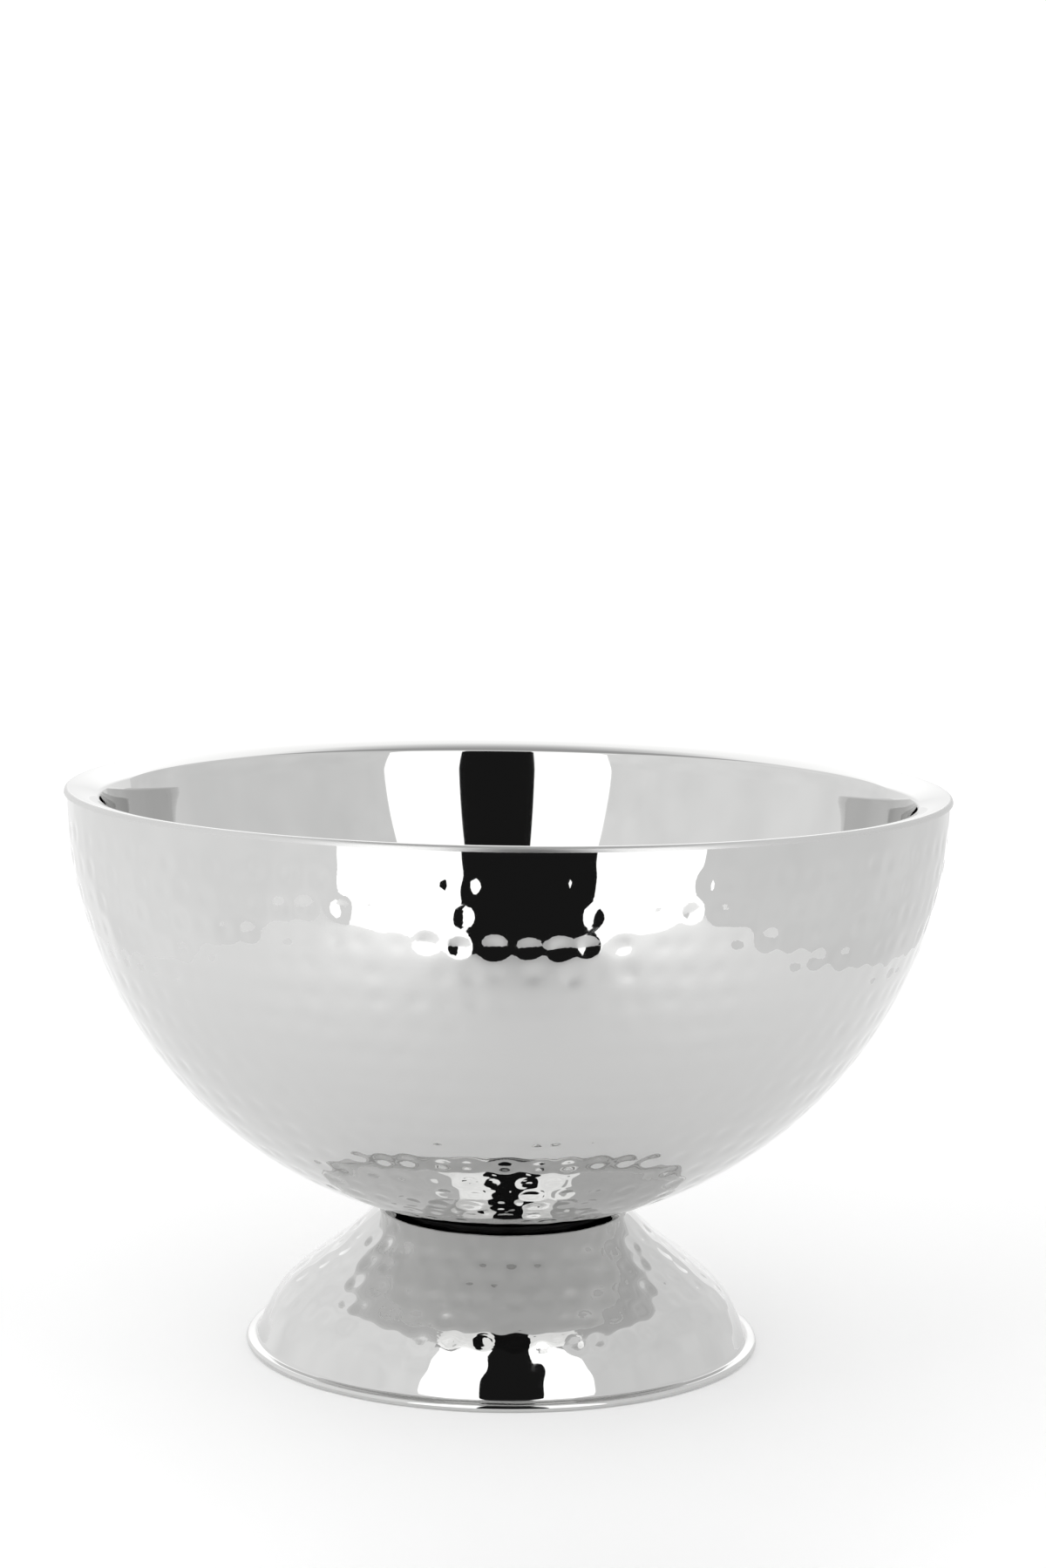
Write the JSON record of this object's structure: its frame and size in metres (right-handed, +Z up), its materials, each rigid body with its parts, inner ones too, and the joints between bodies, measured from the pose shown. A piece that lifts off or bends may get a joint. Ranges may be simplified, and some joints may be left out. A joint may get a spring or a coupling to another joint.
{
  "type": "punch bowl",
  "caption": "Double-wall hammered steel punch bowl with a smooth liner, hemmed rim and bolted bell foot",
  "frame": {"origin": "centre of the circle that the foot stands on", "axes": "+Z up along the bowl's axis of revolution; X and Y are equal"},
  "size_m": [0.4, 0.3999, 0.2567],
  "materials": {
    "liner_steel": "mirror polished stainless steel, smooth",
    "hammered_steel": "mirror polished stainless steel, hammered in rings",
    "foot_steel": "mirror polished stainless steel, hammered on the slope",
    "plain_steel": "plain rolled sheet, unpolished",
    "zinc_steel": "bright zinc plated",
    "black_rubber": "matte moulded rubber"
  },
  "bodies": {
    "root": {"inner_bowl": "liner_steel", "outer_bowl": "hammered_steel", "stud_plate": "plain_steel", "foot_bolt": "zinc_steel", "neck_gasket": "black_rubber", "foot": "foot_steel", "cushion_washer": "black_rubber", "clamp_washer": "zinc_steel", "spring_washer": "zinc_steel", "foot_nut": "zinc_steel"}
  },
  "joints": []
}
